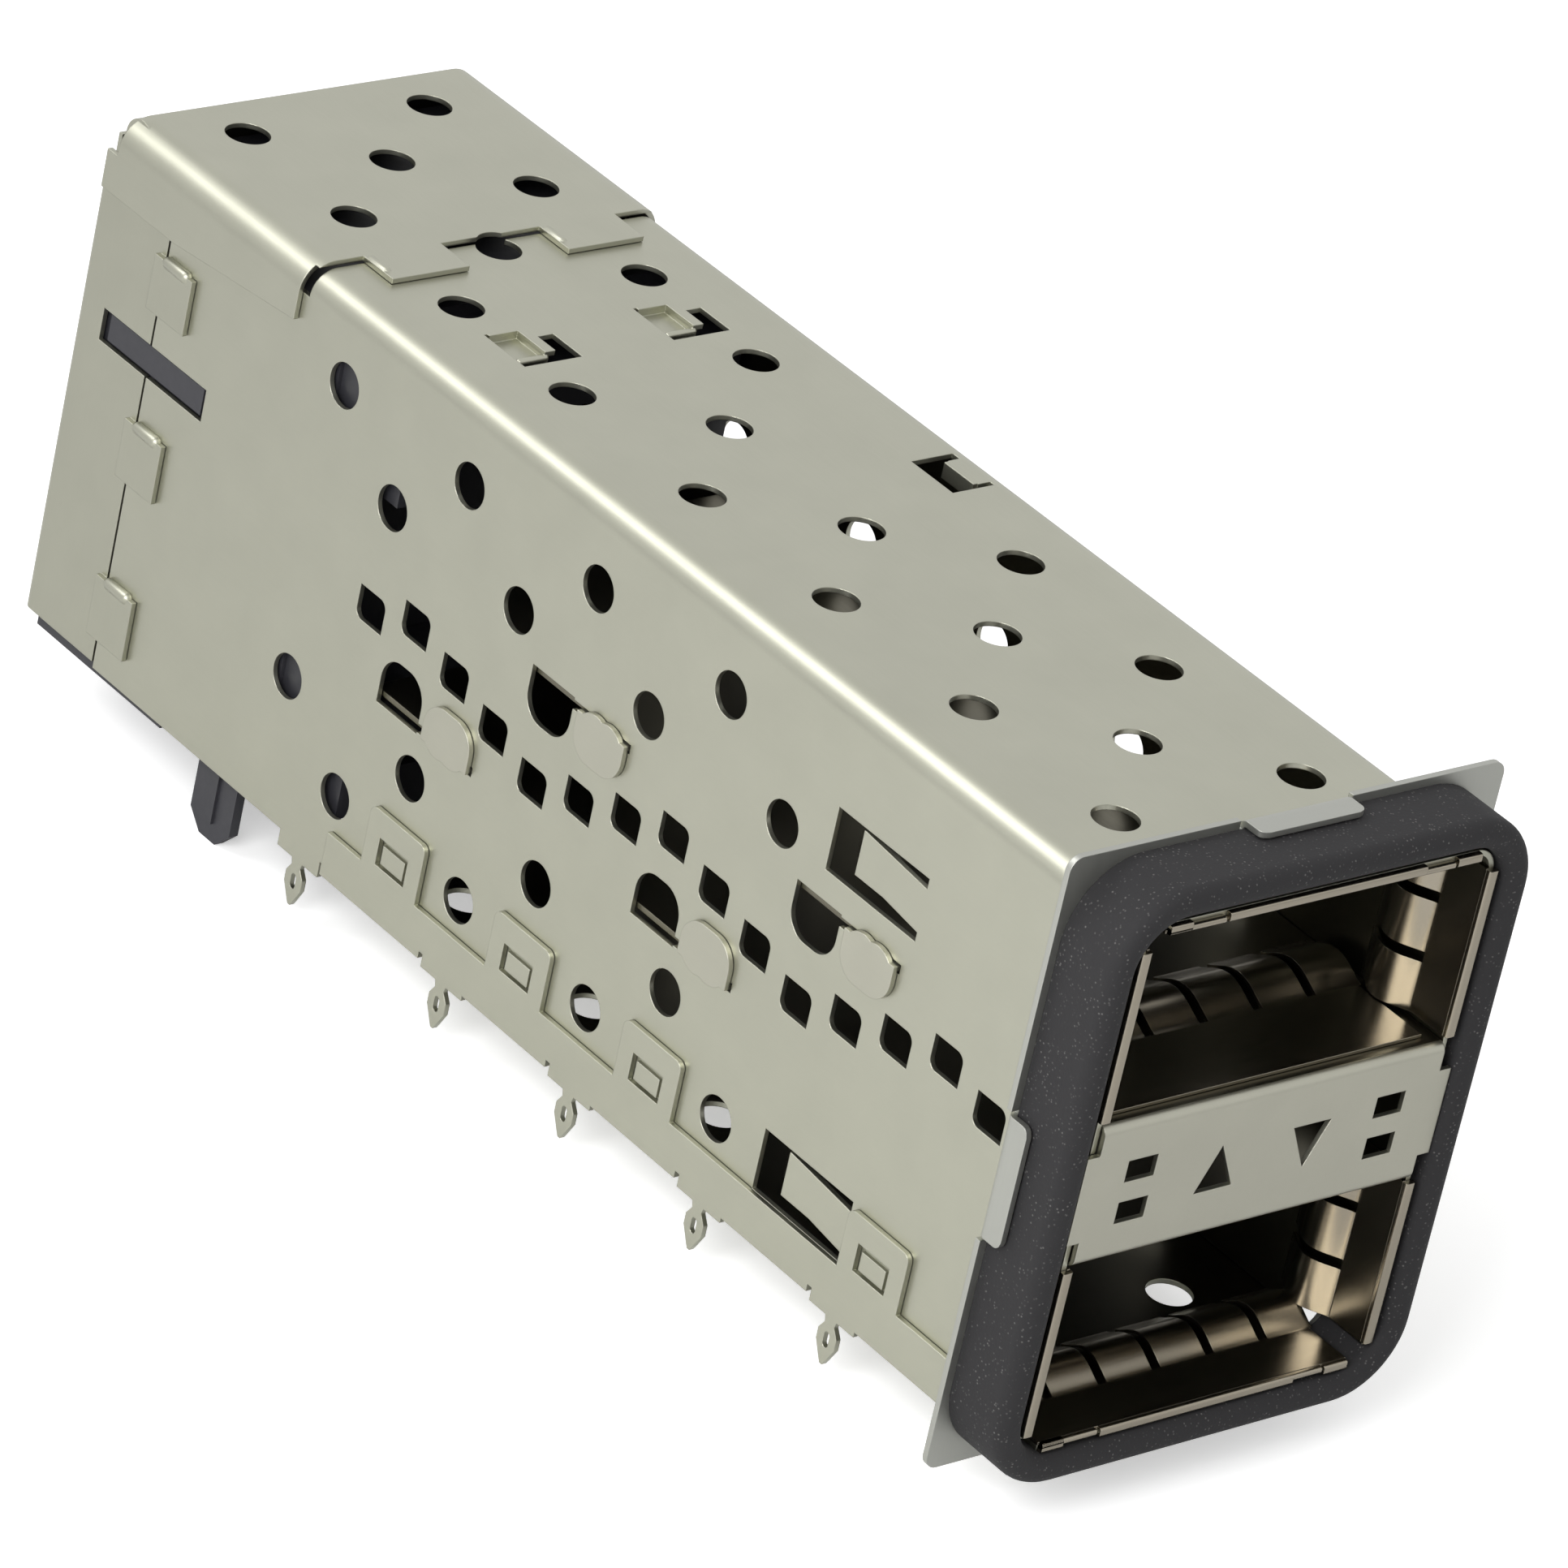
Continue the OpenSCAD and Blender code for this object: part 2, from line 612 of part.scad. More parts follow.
module upper_right_fingers() color([0.72, 0.70, 0.66])
    mirror([1, 0, 0]) translate([-inner, 0, upper_side]) rotate([0, 90, 0])
        side_strip(side_reach);

module lower_left_fingers() color([0.72, 0.70, 0.66])
    translate([-inner, 0, lower_side]) rotate([0, 90, 0]) side_strip(side_reach);

module lower_right_fingers() color([0.72, 0.70, 0.66])
    mirror([1, 0, 0]) translate([-inner, 0, lower_side]) rotate([0, 90, 0])
        side_strip(side_reach);

// ---------- connector ----------
upper_card = 20.8;
lower_card = 5.1;

module connector_housing() color([0.23, 0.24, 0.27]) difference() {
    union() {
        block(-inner + 0.15, inner - 0.15, body_front, cage_back - 1.1, base_top, 24.3);
        for (z = [lower_card, upper_card])
            block(-inner + 0.35, inner - 0.35, nose_front, body_front + 0.1, z - 2.9, z + 2.9);
        both_sides() block(-half + 0.1, -inner + 0.3, slot_front + 0.25, slot_rear - 0.5,
            slot_low + 0.2, slot_high - 0.1);
    }
    for (z = [lower_card, upper_card]) {
        block(-card_width / 2, card_width / 2, nose_front - 1, body_front + 4,
            z - card_slot / 2, z + card_slot / 2);
        for (s = [-1, 1], k = [0 : contact_count - 1]) {
            x = (k - (contact_count - 1) / 2) * contact_pitch;
            block(x - 0.22, x + 0.22, nose_front + 0.5, body_front + 4,
                z + (s > 0 ? 0 : -card_slot / 2 - 0.9), z + (s > 0 ? card_slot / 2 + 0.9 : 0));
        }
    }
}

module connector_base() color([0.23, 0.24, 0.27]) {
    block(-inner + 0.3, inner - 0.3, body_front, 59.35, -0.1, base_top);
    block(-inner + 0.05, inner - 0.05, 59.3, cage_back - 0.95, -0.1, base_top);
    both_sides() {
        z = -0.1 - peg_length;
        side_plate(-9.05, -8.55, [[53.5, 0], [53.5, z + 0.9], [54.4, z], [55.6, z],
            [56.5, z + 0.9], [56.5, 0]]);
        block(-9.2, -8.4, 54.75, 55.25, z + 0.9, 0);
    }
}

// One row of contact springs; side is +1 for the row above the card
module contact_row(zc, side) color([0.83, 0.68, 0.36])
    for (k = [0 : contact_count - 1]) {
        x = (k - (contact_count - 1) / 2) * contact_pitch;
        y0 = nose_front;
        translate([0, 0, zc]) mirror([0, 0, side > 0 ? 0 : 1])
            side_plate(x - 0.15, x + 0.15, [[y0 + 0.9, 0.95], [y0 + 1.7, 0.5], [y0 + 2.5, 0.75],
                [y0 + 9, 1.3], [y0 + 9, 1.52], [y0 + 2.4, 0.97], [y0 + 1.7, 0.72],
                [y0 + 1.0, 1.12]]);
    }

module upper_row_high() contact_row(upper_card, 1);
module upper_row_low() contact_row(upper_card, -1);
module lower_row_high() contact_row(lower_card, 1);
module lower_row_low() contact_row(lower_card, -1);

// ---------- drawing ----------
cage_shell();
rear_cover();
back_plate();
bottom_plate();
port_divider();
retention_plate();
gasket();
upper_top_fingers();
upper_bottom_fingers();
upper_left_fingers();
upper_right_fingers();
lower_top_fingers();
lower_bottom_fingers();
lower_left_fingers();
lower_right_fingers();
connector_housing();
connector_base();
upper_row_high();
upper_row_low();
lower_row_high();
lower_row_low();
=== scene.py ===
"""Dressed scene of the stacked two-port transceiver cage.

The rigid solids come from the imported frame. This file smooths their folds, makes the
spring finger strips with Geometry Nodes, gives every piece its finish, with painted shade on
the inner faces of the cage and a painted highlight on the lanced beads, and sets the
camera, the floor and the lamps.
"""

import json
import logging
import math
from dataclasses import dataclass, field
from enum import Enum

import bmesh
import bpy
from mathutils import Matrix, Vector

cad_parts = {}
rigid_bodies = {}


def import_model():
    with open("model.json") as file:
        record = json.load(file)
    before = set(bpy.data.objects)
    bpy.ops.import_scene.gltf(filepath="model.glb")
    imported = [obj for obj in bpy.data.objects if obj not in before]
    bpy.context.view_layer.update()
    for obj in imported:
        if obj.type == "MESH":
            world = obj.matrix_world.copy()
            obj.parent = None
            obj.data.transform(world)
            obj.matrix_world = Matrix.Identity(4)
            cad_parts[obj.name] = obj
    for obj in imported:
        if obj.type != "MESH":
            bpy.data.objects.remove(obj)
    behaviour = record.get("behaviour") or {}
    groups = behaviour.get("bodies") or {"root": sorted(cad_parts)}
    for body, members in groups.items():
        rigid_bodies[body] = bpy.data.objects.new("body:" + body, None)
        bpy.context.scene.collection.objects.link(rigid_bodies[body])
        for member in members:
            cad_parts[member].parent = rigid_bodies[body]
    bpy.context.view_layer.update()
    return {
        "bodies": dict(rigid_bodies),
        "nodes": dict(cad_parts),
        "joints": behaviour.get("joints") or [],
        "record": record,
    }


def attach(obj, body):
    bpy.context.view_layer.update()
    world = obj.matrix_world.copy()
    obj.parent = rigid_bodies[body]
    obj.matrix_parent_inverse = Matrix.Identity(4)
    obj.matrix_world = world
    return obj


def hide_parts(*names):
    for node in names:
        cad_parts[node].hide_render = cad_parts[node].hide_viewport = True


MM = 0.001
LOG = logging.getLogger("cage")

# Sockets of the colour mix node, which shares its names among several data types.
MIX_FACTOR = 0
MIX_FIRST = 6
MIX_SECOND = 7
MIX_RESULT = 2

# Material places on a sheet piece: outer skin, inner skin in painted shade, lanced ends in painted
# highlight.
OUTER = 0
INNER_SHADE = 1
LANCED_HIGHLIGHT = 2

# Edges sharper than these stay sharp: sheet folds, spring strips, foam ring.
FOLD_DEG = 32.0
STRIP_DEG = 35.0
FOAM_DEG = 40.0

# Parts that a round corner is drawn in.
CORNER_STEPS = 8


# ---------------------------------------------------------------- small tools
def linear(hex_colour: str) -> tuple[float, float, float, float]:
    """Turn an sRGB hex colour into linear RGBA.

    Args:
        hex_colour: six hex digits with a leading hash.

    Returns:
        Linear red, green, blue and an alpha of 1.
    """
    values = [int(hex_colour[i : i + 2], 16) / 255 for i in (1, 3, 5)]
    turned = [v / 12.92 if v <= 0.04045 else ((v + 0.055) / 1.055) ** 2.4 for v in values]
    return turned[0], turned[1], turned[2], 1.0


def add_node(
    tree: bpy.types.NodeTree,
    kind: str,
    settings: dict[str, object] | None = None,
    links: dict[str | int, object] | None = None,
) -> bpy.types.Node:
    """Add one node with its settings, input values and incoming links.

    Args:
        tree: the node tree to add to.
        kind: the node's type name.
        settings: attributes of the node itself.
        links: input name or index to a socket to link from, or a plain value.

    Returns:
        The new node.
    """
    node = tree.nodes.new(kind)
    for name, value in (settings or {}).items():
        setattr(node, name, value)
    for name, value in (links or {}).items():
        if isinstance(value, bpy.types.NodeSocket):
            tree.links.new(value, node.inputs[name])
        else:
            node.inputs[name].default_value = value
    return node


def new_piece(name: str, mesh: bpy.types.Mesh, slot: str, *nodes: str) -> bpy.types.Object:
    """Link a mesh as a piece of the object that stands for some CAD nodes.

    Args:
        name: the piece's name.
        mesh: its finished mesh, placed in its own vertices.
        slot: the record's material slot; not used.
        nodes: CAD nodes that the piece stands for.

    Returns:
        The linked object, riding on the root body.
    """
    piece = bpy.data.objects.new(name, mesh)
    bpy.context.scene.collection.objects.link(piece)
    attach(piece, "root")
    if nodes:
        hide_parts(*nodes)
    return piece


# ---------------------------------------------------------------- finishes
class Grain(Enum):
    """Direction in which the rolled sheet was drawn, as the stretch of its pattern."""

    ALONG_CAGE = (1.0, 0.06, 1.0)
    ACROSS = (0.08, 1.0, 1.0)
    UP = (1.0, 1.0, 0.08)


@dataclass(frozen=True)
class PlatedSheet:
    """Nickel-plated steel sheet: rolled, stamped, then barrel plated.

    It gives a soft grey metal with a faint warm cast, a barely seen rolling grain, and
    sheared edges that catch a thin light line.
    """

    name: str
    colour: str
    roughness: float
    grain: Grain = Grain.ALONG_CAGE
    edge_mm: float = 0.07
    mottle: float = 0.05

    def make(self) -> bpy.types.Material:
        """Build the material.

        Returns:
            The finished material.
        """
        material = bpy.data.materials.new(self.name)
        material.use_nodes = True
        tree = material.node_tree
        tree.nodes.clear()
        place = add_node(tree, "ShaderNodeTexCoord")
        # Rolling grain is about 0.02 mm wide; it is drawn at 0.12 mm so that it shows.
        stretch = add_node(
            tree,
            "ShaderNodeMapping",
            None,
            {"Vector": place.outputs["Object"], "Scale": self.grain.value},
        )
        rolled = add_node(
            tree,
            "ShaderNodeTexNoise",
            None,
            {"Vector": stretch.outputs["Vector"], "Scale": 1 / (0.12 * MM), "Detail": 2.0},
        )
        # Plating varies in slow clouds some 3 mm across.
        cloud = add_node(
            tree,
            "ShaderNodeTexNoise",
            None,
            {"Vector": place.outputs["Object"], "Scale": 1 / (3 * MM), "Detail": 3.0},
        )
        base = linear(self.colour)
        dark = tuple(c * (1 - self.mottle) for c in base[:3]) + (1.0,)
        light = tuple(min(1.0, c * (1 + self.mottle)) for c in base[:3]) + (1.0,)
        tone = add_node(tree, "ShaderNodeMix", {"data_type": "RGBA"})
        tone.inputs[MIX_FIRST].default_value = dark
        tone.inputs[MIX_SECOND].default_value = light
        tree.links.new(cloud.outputs["Fac"], tone.inputs[MIX_FACTOR])
        rough = add_node(
            tree,
            "ShaderNodeMapRange",
            None,
            {
                "Value": rolled.outputs["Fac"],
                "To Min": self.roughness - 0.05,
                "To Max": self.roughness + 0.05,
            },
        )
        edge = add_node(
            tree, "ShaderNodeBevel", {"samples": 6}, {"Radius": self.edge_mm * MM}
        )
        bump = add_node(
            tree,
            "ShaderNodeBump",
            None,
            {
                "Strength": 0.12,
                "Distance": 0.004 * MM,
                "Height": rolled.outputs["Fac"],
                "Normal": edge.outputs["Normal"],
            },
        )
        shader = add_node(
            tree,
            "ShaderNodeBsdfPrincipled",
            None,
            {
                "Base Color": tone.outputs[MIX_RESULT],
                "Metallic": 1.0,
                "Roughness": rough.outputs["Result"],
                "Normal": bump.outputs["Normal"],
            },
        )
        add_node(
            tree, "ShaderNodeOutputMaterial", None, {"Surface": shader.outputs["BSDF"]}
        )
        return material


@dataclass(frozen=True)
class ConductiveFoam:
    """Carbon-filled silicone foam: moulded, matt, almost black, with pale filler specks."""

    name: str = "Carbon_filled_foam"
    colour: str = "#1A191B"
    speck: str = "#5C5A59"
    speck_mm: float = 0.2

    def make(self) -> bpy.types.Material:
        """Build the material.

        Returns:
            The finished material.
        """
        material = bpy.data.materials.new(self.name)
        material.use_nodes = True
        tree = material.node_tree
        tree.nodes.clear()
        place = add_node(tree, "ShaderNodeTexCoord")
        specks = add_node(
            tree,
            "ShaderNodeTexVoronoi",
            None,
            {"Vector": place.outputs["Object"], "Scale": 1 / (self.speck_mm * MM)},
        )
        patches = add_node(
            tree,
            "ShaderNodeTexNoise",
            None,
            {"Vector": place.outputs["Object"], "Scale": 1 / (0.8 * MM), "Detail": 4.0},
        )
        spot = add_node(
            tree,
            "ShaderNodeMapRange",
            None,
            {"Value": specks.outputs["Distance"], "From Min": 0.28, "From Max": 0.08},
        )
        some = add_node(
            tree,
            "ShaderNodeMapRange",
            None,
            {"Value": patches.outputs["Fac"], "From Min": 0.4, "From Max": 0.62},
        )
        both = add_node(
            tree,
            "ShaderNodeMath",
            {"operation": "MULTIPLY"},
            {0: spot.outputs["Result"], 1: some.outputs["Result"]},
        )
        tone = add_node(tree, "ShaderNodeMix", {"data_type": "RGBA"})
        tone.inputs[MIX_FIRST].default_value = linear(self.colour)
        tone.inputs[MIX_SECOND].default_value = linear(self.speck)
        tree.links.new(both.outputs[0], tone.inputs[MIX_FACTOR])
        # Cells of the skin are about 0.15 mm across.
        cells = add_node(
            tree,
            "ShaderNodeTexNoise",
            None,
            {"Vector": place.outputs["Object"], "Scale": 1 / (0.15 * MM), "Detail": 3.0},
        )
        bump = add_node(
            tree,
            "ShaderNodeBump",
            None,
            {"Strength": 0.5, "Distance": 0.03 * MM, "Height": cells.outputs["Fac"]},
        )
        shader = add_node(
            tree,
            "ShaderNodeBsdfPrincipled",
            None,
            {
                "Base Color": tone.outputs[MIX_RESULT],
                "Roughness": 0.85,
                "Normal": bump.outputs["Normal"],
            },
        )
        add_node(
            tree, "ShaderNodeOutputMaterial", None, {"Surface": shader.outputs["BSDF"]}
        )
        return material


@dataclass(frozen=True)
class MouldedPolymer:
    """Glass-filled liquid-crystal polymer: injection moulded, charcoal, faintly blue."""

    name: str = "Glass_filled_polymer"
    colour: str = "#2B2B30"

    def make(self) -> bpy.types.Material:
        """Build the material.

        Returns:
            The finished material.
        """
        material = bpy.data.materials.new(self.name)
        material.use_nodes = True
        tree = material.node_tree
        tree.nodes.clear()
        place = add_node(tree, "ShaderNodeTexCoord")
        # Glass fibres leave flow marks about 0.4 mm long in the skin.
        flow = add_node(
            tree,
            "ShaderNodeTexNoise",
            None,
            {"Vector": place.outputs["Object"], "Scale": 1 / (0.4 * MM), "Detail": 4.0},
        )
        rough = add_node(
            tree,
            "ShaderNodeMapRange",
            None,
            {"Value": flow.outputs["Fac"], "To Min": 0.42, "To Max": 0.6},
        )
        bump = add_node(
            tree,
            "ShaderNodeBump",
            None,
            {"Strength": 0.25, "Distance": 0.01 * MM, "Height": flow.outputs["Fac"]},
        )
        shader = add_node(
            tree,
            "ShaderNodeBsdfPrincipled",
            None,
            {
                "Base Color": linear(self.colour),
                "Roughness": rough.outputs["Result"],
                "Normal": bump.outputs["Normal"],
            },
        )
        add_node(
            tree, "ShaderNodeOutputMaterial", None, {"Surface": shader.outputs["BSDF"]}
        )
        return material


@dataclass(frozen=True)
class GoldFlash:
    """Gold flash over nickel on copper alloy: a bright warm metal on the contact tips."""

    name: str = "Gold_flashed_contact"
    colour: str = "#D9B668"

    def make(self) -> bpy.types.Material:
        """Build the material.

        Returns:
            The finished material.
        """
        material = bpy.data.materials.new(self.name)
        material.use_nodes = True
        tree = material.node_tree
        shader = tree.nodes["Principled BSDF"]
        place = add_node(tree, "ShaderNodeTexCoord")
        # Drawing marks 0.05 mm apart vary the gloss a little.
        drawn = add_node(
            tree,
            "ShaderNodeTexNoise",
            None,
            {"Vector": place.outputs["Object"], "Scale": 1 / (0.05 * MM)},
        )
        rough = add_node(
            tree,
            "ShaderNodeMapRange",
            None,
            {"Value": drawn.outputs["Fac"], "To Min": 0.2, "To Max": 0.32},
        )
        shader.inputs["Base Color"].default_value = linear(self.colour)
        shader.inputs["Metallic"].default_value = 1.0
        tree.links.new(rough.outputs["Result"], shader.inputs["Roughness"])
        return material


# ---------------------------------------------------------------- sheet metal
@dataclass(frozen=True)
class Bead:
    """Rolled edge where a tongue is lanced from the sheet, in millimetres."""

    start: tuple[float, float, float]
    end: tuple[float, float, float]
    radius: float

    def add_to(self, work: bmesh.types.BMesh) -> None:
        """Add the bead as a rod with round ends.

        Args:
            work: the mesh to add to.
        """
        run = Vector(self.end) - Vector(self.start)
        turn = run.to_track_quat("Z", "Y").to_matrix().to_4x4()
        ball = bmesh.ops.create_uvsphere(work, u_segments=16, v_segments=10, radius=self.radius)
        for vert in ball["verts"]:
            vert.co.z += math.copysign(run.length / 2, vert.co.z)
        middle = (Vector(self.start) + Vector(self.end)) / 2
        place = Matrix.Scale(MM, 4) @ Matrix.Translation(middle) @ turn
        bmesh.ops.transform(work, verts=ball["verts"], matrix=place)
        for face in {face for vert in ball["verts"] for face in vert.link_faces}:
            face.smooth = True
            # The bead takes the near-white sheet: painted highlight.
            face.material_index = LANCED_HIGHLIGHT


@dataclass
class SheetMetal:
    """The folded and stamped pieces: CAD solids with their folds shaded smooth."""

    frame: dict
    finishes: dict[str, PlatedSheet] = field(
        default_factory=lambda: {
            "cage_shell": PlatedSheet("Plated_shell_sheet", "#ACAC9E", 0.38),
            "rear_cover": PlatedSheet("Plated_cover_sheet", "#ACAC9E", 0.38),
            "back_plate": PlatedSheet("Plated_back_sheet", "#A9A99B", 0.38, Grain.UP),
            "bottom_plate": PlatedSheet("Plated_tray_sheet", "#ACAC9E", 0.38),
            "port_divider": PlatedSheet("Plated_divider_sheet", "#AEADA0", 0.38),
        }
    )
    # Darker copy of the plated sheet for faces inside the cage: painted shade.
    inside: PlatedSheet = PlatedSheet("Painted_shade_sheet_inside", "#6C695C", 0.3)
    # Near-white copy of the plated sheet for the lanced beads: painted highlight.
    painted_highlight: PlatedSheet = PlatedSheet("Painted_highlight_lanced_edge", "#F4F2EA", 0.3)
    beads: dict[str, tuple[Bead, ...]] = field(default_factory=dict)

    def __post_init__(self) -> None:
        """Lay out the rolled ends of the lanced tongues and stops."""
        self.beads["rear_cover"] = tuple(
            Bead((x, 54.25, 25.84), (x, 53.2, 25.84), 0.22) for x in (-6.68, 3.02)
        )
        self.beads["back_plate"] = tuple(
            Bead((side * 9.72, 64.05, z), (side * 9.72, 62.75, z), 0.3)
            for side in (-1, 1)
            for z in (21.12, 12.82, 4.82)
        )
        self.beads["cage_shell"] = tuple(
            bead
            for x in (-5.65, 2.55)
            for bead in (
                Bead((x + 1.95, 47.1, 25.4), (x + 1.95, 45.4, 25.4), 0.2),
                Bead((x + 0.45, 45.2, 25.32), (x + 1.8, 45.2, 25.32), 0.17),
            )
        )

    def build(self) -> list[bpy.types.Object]:
        """Replace each sheet node by a merged copy with smooth folds.

        Returns:
            The new pieces.
        """
        made = []
        shade_sheet, bright = self.inside.make(), self.painted_highlight.make()
        for node, finish in self.finishes.items():
            mesh = self.frame["nodes"][node].data.copy()
            mesh.name = f"{node}_skin"
            smooth_folds(mesh, FOLD_DEG, self.beads.get(node, ()))
            mesh.materials.clear()
            mesh.materials.append(finish.make())
            mesh.materials.append(shade_sheet)
            mesh.materials.append(bright)
            # Faces inside the cage take the darker copy of the sheet: painted shade.
            for face in mesh.polygons:
                if face.material_index == OUTER and self.faces_inward(node, face):
                    face.material_index = INNER_SHADE
            slot = "divider_steel" if node == "port_divider" else "shell_steel"
            made.append(new_piece(f"{node}_skin", mesh, slot, node))
        return made

    @staticmethod
    def faces_inward(node: str, face: bpy.types.MeshPolygon) -> bool:
        """Tell whether a face belongs to the inside of the cage.

        Args:
            node: the CAD node that the face comes from.
            face: the face.

        Returns:
            True for a face that only second-hand light reaches.
        """
        x, y, z = (v / MM for v in face.center)
        out = face.normal
        if node == "port_divider":
            # Everything behind its face and between the side walls.
            return y > -2.6 and abs(x) < 9.4
        # The latch leaves stand inward from the side walls, behind the mouth.
        leaf = 8.3 < abs(x) < 9.34 and 10 < y < 15 and abs(out.x) > 0.7
        if node == "cage_shell" and leaf:
            return True
        walls = abs(x) < 9.36 and 0.2 < z < 25.41 and -2.9 < y < 69.9
        inward = (
            (abs(x) > 9.3 and out.x * x < -0.5)
            or (z > 25 and out.z < -0.5)
            or (z < 1 and out.z > 0.5)
            or (y > 60 and out.y < -0.5)
        )
        return walls and inward


def smooth_folds(
    mesh: bpy.types.Mesh, angle_deg: float, beads: tuple[Bead, ...] = ()
) -> None:
    """Merge loose triangles and shade them smooth across shallow angles.

    Args:
        mesh: the mesh to change.
        angle_deg: edges sharper than this stay sharp.
        beads: rolled edges to add.
    """
    if "custom_normal" in mesh.attributes:
        mesh.attributes.remove(mesh.attributes["custom_normal"])
    work = bmesh.new()
    work.from_mesh(mesh)
    bmesh.ops.remove_doubles(work, verts=work.verts, dist=0.0005 * MM)
    shade(work, angle_deg)
    for bead in beads:
        bead.add_to(work)
    work.to_mesh(mesh)
    work.free()


@dataclass
class RetentionPlate:
    """Thin bright plate round the cage, with tabs folded forward beside the gasket."""

    half: float = 11.8
    low: float = -1.55
    high: float = 27.75
    thick: float = 0.28
    corner: float = 0.65
    open_half: float = 9.65
    open_low: float = 0.3
    open_high: float = 25.7
    open_corner: float = 1.2
    bend: float = 0.45
    reach: float = 1.15
    notch: float = 0.2
    nose: float = 0.4
    fold_steps: int = 8
    leg_steps: int = 12
    side_tab: tuple[float, float] = (9.9, 15.7)
    top_tab: tuple[float, float] = (-2.65, 3.05)
    finish: PlatedSheet = PlatedSheet(
        "Bright_rolled_plate", "#A9AAA4", 0.45, Grain.UP, 0.05, 0.02
    )

    def outline(self) -> list[tuple[float, float]]:
        """Give the plate's outer outline in X and Z, with a recess at each tab's fold."""
        line = rounded(-self.half, self.half, self.low, self.high, self.corner)
        recesses = (
            (self.top_tab, lambda s, d: (s, self.high - d), 1),
            (self.side_tab, lambda s, d: (-self.half + d, s), 2),
            (self.side_tab, lambda s, d: (self.half - d, s), 0),
        )
        done = []
        quarter = len(line) // 4
        # The outline starts after the lower right corner and runs up the right edge.
        for side in range(4):
            for (start, end), spot, where in recesses:
                if where != side:
                    continue
                first, last = start - self.notch, end + self.notch
                if side:
                    first, last = last, first
                done += [spot(first, 0), spot(first, self.bend), spot(last, self.bend), spot(last, 0)]
            done += line[side * quarter : (side + 1) * quarter]
        return done

    def flat(self) -> bpy.types.Mesh:
        """Make the flat plate with its opening.

        Returns:
            A mesh that stands in the X and Z plane.
        """
        shape = bpy.data.curves.new("plate_outline", "CURVE")
        shape.dimensions = "2D"
        shape.fill_mode = "BOTH"
        shape.extrude = self.thick / 2
        hole = rounded(
            -self.open_half, self.open_half, self.open_low, self.open_high, self.open_corner
        )
        for points in (self.outline(), hole):
            line = shape.splines.new("POLY")
            line.points.add(len(points) - 1)
            line.use_cyclic_u = True
            for point, (x, z) in zip(line.points, points):
                point.co = (x, z, 0, 1)
        holder = bpy.data.objects.new("plate_outline", shape)
        bpy.context.scene.collection.objects.link(holder)
        graph = bpy.context.evaluated_depsgraph_get()
        mesh = bpy.data.meshes.new_from_object(holder.evaluated_get(graph))
        bpy.data.objects.remove(holder)
        stand = Matrix.Translation((0, self.thick / 2, 0)) @ Matrix.Rotation(math.pi / 2, 4, "X")
        mesh.transform(stand)
        return mesh

    def tab(self, work: bmesh.types.BMesh, place: Matrix, span: float) -> None:
        """Add one folded tab with rounded outer corners.

        Args:
            work: the mesh to add to, in millimetres.
            place: from the tab's own axes (outward, forward, along) to the plate.
            span: its length along the fold.
        """
        mid = self.bend - self.thick / 2
        rows = []
        for i in range(self.fold_steps + 1):
            a = math.radians(90 * i / self.fold_steps)
            spot = (-self.bend + mid * math.sin(a), self.thick - self.bend + mid * math.cos(a))
            rows.append((spot, (math.sin(a), math.cos(a)), 0.0))
        leg = self.thick - self.bend + self.reach
        for i in range(1, self.leg_steps + 1):
            run = leg * i / self.leg_steps
            past = max(0.0, run - (leg - self.nose))
            inset = self.nose - math.sqrt(max(0.0, self.nose**2 - past**2))
            rows.append(((-self.thick / 2, self.thick - self.bend - run), (1.0, 0.0), inset))
        columns = 9
        layers = []
        for sign in (1, -1):
            grid = []
            for (u, y), (nu, ny), inset in rows:
                d = sign * self.thick / 2
                along = [inset + (span - 2 * inset) * c / (columns - 1) for c in range(columns)]
                spots = [place @ Vector((u + nu * d, y + ny * d, w)) for w in along]
                grid.append([work.verts.new(spot) for spot in spots])
            layers.append(grid)
            for r in range(len(rows) - 1):
                for c in range(columns - 1):
                    work.faces.new(
                        (grid[r][c], grid[r][c + 1], grid[r + 1][c + 1], grid[r + 1][c])
                    )
        outer, inner = layers
        for r in range(len(rows) - 1):
            for c in (0, columns - 1):
                work.faces.new((outer[r][c], outer[r + 1][c], inner[r + 1][c], inner[r][c]))
        for c in range(columns - 1):
            for r in (0, len(rows) - 1):
                work.faces.new((outer[r][c], outer[r][c + 1], inner[r][c + 1], inner[r][c]))

    def build(self) -> list[bpy.types.Object]:
        """Make the plate with its three tabs.

        Returns:
            The one piece.
        """
        mesh = self.flat()
        mesh.name = "retention_plate_sheet"
        work = bmesh.new()
        work.from_mesh(mesh)
        side = self.side_tab[1] - self.side_tab[0]
        right = Matrix.Translation((self.half, 0, self.side_tab[0]))
        left = Matrix.Scale(-1, 4, (1, 0, 0)) @ right
        top = Matrix.Translation((self.top_tab[1], 0, self.high)) @ Matrix.Rotation(
            -math.pi / 2, 4, "Y"
        )
        self.tab(work, right, side)
        self.tab(work, left, side)
        self.tab(work, top, self.top_tab[1] - self.top_tab[0])
        bmesh.ops.remove_doubles(work, verts=work.verts, dist=0.001)
        work.transform(Matrix.Scale(MM, 4))
        bmesh.ops.recalc_face_normals(work, faces=work.faces)
        shade(work, FOLD_DEG)
        work.to_mesh(mesh)
        work.free()
        mesh.materials.clear()
        mesh.materials.append(self.finish.make())
        return [new_piece("retention_plate_sheet", mesh, "plate_steel", "retention_plate")]


